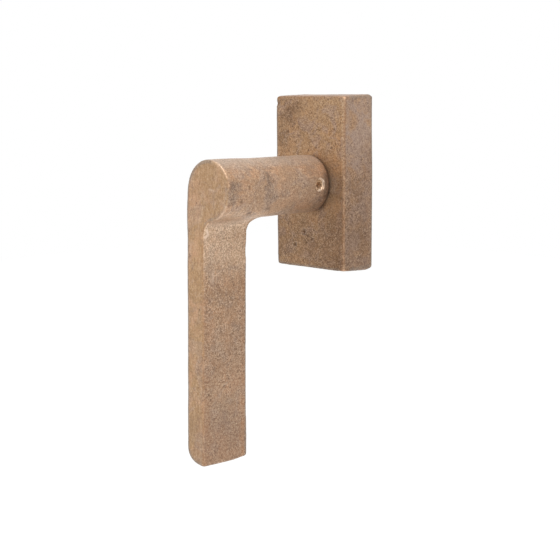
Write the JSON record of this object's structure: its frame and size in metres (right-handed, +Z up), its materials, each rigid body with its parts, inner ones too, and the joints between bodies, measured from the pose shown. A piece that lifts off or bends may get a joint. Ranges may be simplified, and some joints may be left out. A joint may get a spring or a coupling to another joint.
{
  "type": "window handle",
  "caption": "Window handle: flat bar grip hanging from a round neck, on a plain block rosette with a quarter-turn detent and a sliding square spindle.",
  "frame": {"origin": "where the spindle axis meets the sash face, midway between the two fixing holes", "axes": "+Z up, the closed grip hangs towards -Z; -Y into the room, +Y into the sash; +X to the right of someone facing the window"},
  "size_m": [0.0374, 0.0747, 0.137],
  "materials": {
    "bronze": "raw sand-cast and tumbled, matt",
    "brass": "turned brass, dulled",
    "zinc": "die-cast zinc, matt",
    "steel": "machined steel, oiled",
    "plated_steel": "zinc-plated steel, satin",
    "spring_steel": "blued spring steel",
    "stainless": "stainless steel, satin",
    "acetal": "black acetal, matt"
  },
  "bodies": {
    "rosette": {"rosette_cover": "bronze", "cover_screw": "stainless", "base_plate": "zinc", "mechanism_lid": "plated_steel", "lid_screws": "plated_steel", "neck_bush": "acetal", "disc_spring": "spring_steel", "detent_leaf_left_1": "spring_steel", "detent_leaf_left_2": "spring_steel", "detent_leaf_right_1": "spring_steel", "detent_leaf_right_2": "spring_steel"},
    "handle": {"handle": "bronze", "grub_screw": "brass", "driver_hub": "steel"},
    "spindle": {"spindle": "plated_steel"}
  },
  "joints": [
    {"name": "handle_turn", "type": "hinge", "parent": "rosette", "child": "handle", "pos_m": [0, 0, 0], "axis": [0, 1, 0], "range_deg": [0, 180], "deforming": ["detent_leaf_left_1", "detent_leaf_left_2", "detent_leaf_right_1", "detent_leaf_right_2"]},
    {"name": "spindle_slide", "type": "slide", "parent": "handle", "child": "spindle", "axis": [0, 1, 0], "range_m": [0, 0.032]}
  ]
}
